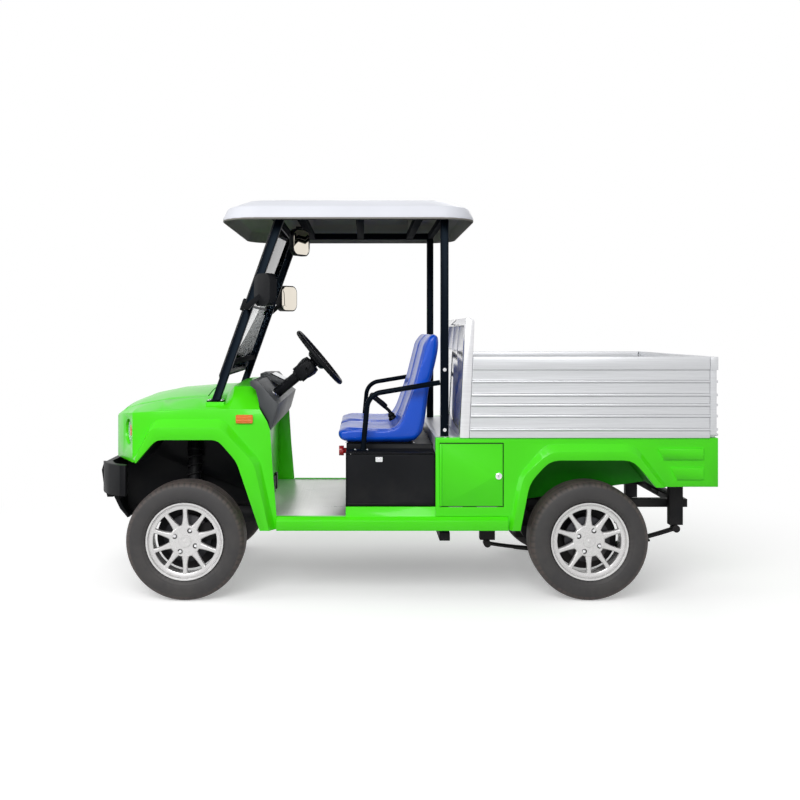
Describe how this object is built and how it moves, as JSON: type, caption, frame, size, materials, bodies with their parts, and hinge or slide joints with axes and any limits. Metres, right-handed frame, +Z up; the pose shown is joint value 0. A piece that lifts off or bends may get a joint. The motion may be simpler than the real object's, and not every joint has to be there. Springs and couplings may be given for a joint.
{
  "type": "electric mini truck",
  "caption": "Open-cab electric mini truck with bucket seats, a canopy roof and windscreen, a green body with flared arches, and a ribbed silver cargo bed with a drop tailgate.",
  "frame": {"origin": "on the ground under the middle of the truck's bounding box", "axes": "+X forward, +Y to the truck's left, +Z up"},
  "size_m": [2.95, 1.3886, 1.9119],
  "materials": {
    "body_green": "bright green gloss paint",
    "frame_black": "black powder coat",
    "moulded_black": "black moulded plastic",
    "dash_grey": "dark grey grained plastic",
    "tread_plate": "bright tread plate",
    "bed_silver": "bright silver",
    "roof_white": "pale silver-white moulding",
    "seat_blue": "blue seat covering",
    "battery_case": "dark battery case",
    "switch_red": "red knob",
    "glass_clear": "clear windscreen",
    "mirror_face": "silvered",
    "lamp_clear": "clear lens",
    "lamp_amber": "amber lens",
    "lamp_red": "red lens",
    "chassis_steel": "dark chassis steel",
    "tyre_rubber": "black rubber",
    "rim_alloy": "machined alloy",
    "brake_iron": "bare iron"
  },
  "bodies": {
    "chassis": {"amber_lamps": "lamp_amber", "armrests": "frame_black", "battery_pack": "battery_case", "bed_floor": "bed_silver", "bed_headboard": "bed_silver", "bed_sides": "bed_silver", "bulkhead": "frame_black", "canopy_bars": "frame_black", "canopy_posts": "frame_black", "controls": "moulded_black", "dashboard": "dash_grey", "floor_plate": "tread_plate", "frame_cross_members": "frame_black", "frame_rails": "frame_black", "frame_uprights": "frame_black", "front_arms": "frame_black", "front_bumper": "moulded_black", "front_cowl": "body_green", "front_liners": "moulded_black", "front_shocks": "chassis_steel", "headlamps": "lamp_clear", "leaf_springs": "chassis_steel", "mirror_glass": "mirror_face", "mirrors": "moulded_black", "power_switch": "switch_red", "rear_axle": "chassis_steel", "rear_panel": "body_green", "rear_sides": "body_green", "roof": "roof_white", "seat_box": "moulded_black", "seats": "seat_blue", "sills": "body_green", "steering_column": "moulded_black", "steering_rack": "chassis_steel", "tail_lamps": "lamp_red", "wheelhouses": "body_green", "windscreen": "glass_clear"},
    "hood": {"hood": "body_green"},
    "tailgate": {"tailgate": "bed_silver"},
    "side_hatch_left": {"side_hatch_left": "body_green"},
    "side_hatch_right": {"side_hatch_right": "body_green"},
    "battery_door_left": {"battery_door_left": "moulded_black"},
    "battery_door_right": {"battery_door_right": "moulded_black"},
    "steering_wheel": {"steering_wheel": "moulded_black"},
    "rack_bar": {"rack_bar": "chassis_steel"},
    "knuckle_left": {"knuckle_left": "chassis_steel"},
    "knuckle_right": {"knuckle_right": "chassis_steel"},
    "wheel_front_left": {"tyre_front_left": "tyre_rubber", "rim_front_left": "rim_alloy", "disc_front_left": "brake_iron"},
    "wheel_front_right": {"tyre_front_right": "tyre_rubber", "rim_front_right": "rim_alloy", "disc_front_right": "brake_iron"},
    "wheel_rear_left": {"tyre_rear_left": "tyre_rubber", "rim_rear_left": "rim_alloy", "drum_rear_left": "brake_iron"},
    "wheel_rear_right": {"tyre_rear_right": "tyre_rubber", "rim_rear_right": "rim_alloy", "drum_rear_right": "brake_iron"}
  },
  "joints": [
    {"name": "steering", "type": "hinge", "parent": "chassis", "child": "steering_wheel", "pos_m": [0.42, 0.28, 1.14], "axis": [-0.767, 0, 0.6416], "range_deg": [-480, 480]},
    {"name": "rack_slide", "type": "slide", "parent": "chassis", "child": "rack_bar", "axis": [0, -1, 0], "range_m": [-0.0552, 0.0552]},
    {"name": "steer_left", "type": "hinge", "parent": "chassis", "child": "knuckle_left", "pos_m": [1.042, 0.455, 0.28], "axis": [0, 0, 1], "range_deg": [-30.1, 30.1]},
    {"name": "steer_right", "type": "hinge", "parent": "chassis", "child": "knuckle_right", "pos_m": [1.042, -0.455, 0.28], "axis": [0, 0, 1], "range_deg": [-30.1, 30.1]},
    {"name": "hood_hinge", "type": "hinge", "parent": "chassis", "child": "hood", "pos_m": [0.958, 0, 0.987], "axis": [0, -1, 0], "range_deg": [0, 60]},
    {"name": "tailgate_hinge", "type": "hinge", "parent": "chassis", "child": "tailgate", "pos_m": [-1.468, 0, 0.784], "axis": [0, -1, 0], "range_deg": [0, 175]},
    {"name": "hatch_left_hinge", "type": "hinge", "parent": "chassis", "child": "side_hatch_left", "pos_m": [-0.166, 0.6, 0.596], "axis": [0, 0, -1], "range_deg": [0, 90]},
    {"name": "hatch_right_hinge", "type": "hinge", "parent": "chassis", "child": "side_hatch_right", "pos_m": [-0.166, -0.6, 0.596], "axis": [0, 0, 1], "range_deg": [0, 90]},
    {"name": "battery_door_left_hinge", "type": "hinge", "parent": "chassis", "child": "battery_door_left", "pos_m": [0.07, 0.59, 0.458], "axis": [-1, 0, 0], "range_deg": [0, 90]},
    {"name": "battery_door_right_hinge", "type": "hinge", "parent": "chassis", "child": "battery_door_right", "pos_m": [0.07, -0.59, 0.458], "axis": [1, 0, 0], "range_deg": [0, 90]},
    {"name": "spin_front_left", "type": "hinge", "parent": "knuckle_left", "child": "wheel_front_left", "pos_m": [1.042, 0.52, 0.28], "axis": [0, 1, 0], "continuous": true},
    {"name": "spin_front_right", "type": "hinge", "parent": "knuckle_right", "child": "wheel_front_right", "pos_m": [1.042, -0.52, 0.28], "axis": [0, 1, 0], "continuous": true},
    {"name": "spin_rear_left", "type": "hinge", "parent": "chassis", "child": "wheel_rear_left", "pos_m": [-0.868, 0.52, 0.28], "axis": [0, 1, 0], "continuous": true},
    {"name": "spin_rear_right", "type": "hinge", "parent": "chassis", "child": "wheel_rear_right", "pos_m": [-0.868, -0.52, 0.28], "axis": [0, 1, 0], "continuous": true}
  ],
  "couplings": [
    {"joint": "steer_left", "follows": "steering", "ratio": 0.0625},
    {"joint": "steer_right", "follows": "steering", "ratio": 0.0625},
    {"joint": "rack_slide", "follows": "steering", "m_per_rad": 0.00656}
  ]
}
